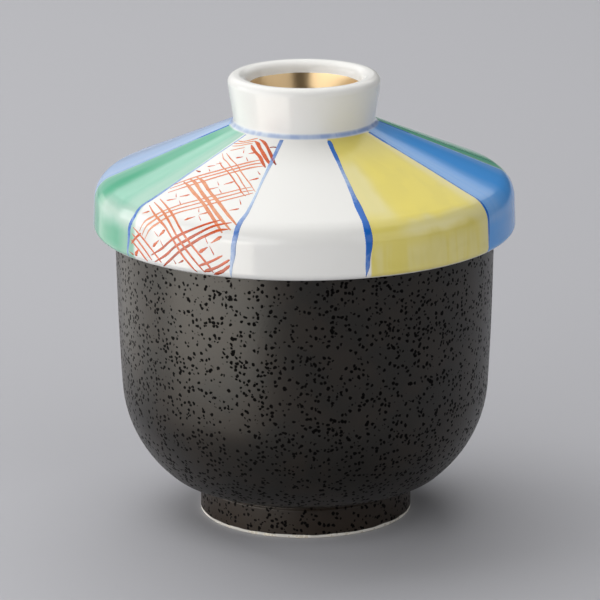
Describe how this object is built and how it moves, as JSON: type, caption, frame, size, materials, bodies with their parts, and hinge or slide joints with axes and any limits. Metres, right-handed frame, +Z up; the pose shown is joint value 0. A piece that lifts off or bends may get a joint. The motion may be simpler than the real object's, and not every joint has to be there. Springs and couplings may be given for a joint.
{
  "type": "lidded chawanmushi cup",
  "caption": "Round steamed custard cup on a foot ring, with a speckled dark glaze, and a painted cap lid whose knob is a hollow flared ring.",
  "frame": {"origin": "centre of the foot ring, in the plane that it stands on", "axes": "+Z up along the axis of turning, -Y towards the viewer, +X to the viewer's right"},
  "size_m": [0.0852, 0.085, 0.0906],
  "materials": {
    "cup_glaze": "satin brown-black glaze with fine black speckles",
    "lid_porcelain": "glossy white glaze with painted enamel panels"
  },
  "bodies": {
    "root": {"cup": "cup_glaze", "lid": "lid_porcelain"}
  },
  "joints": []
}
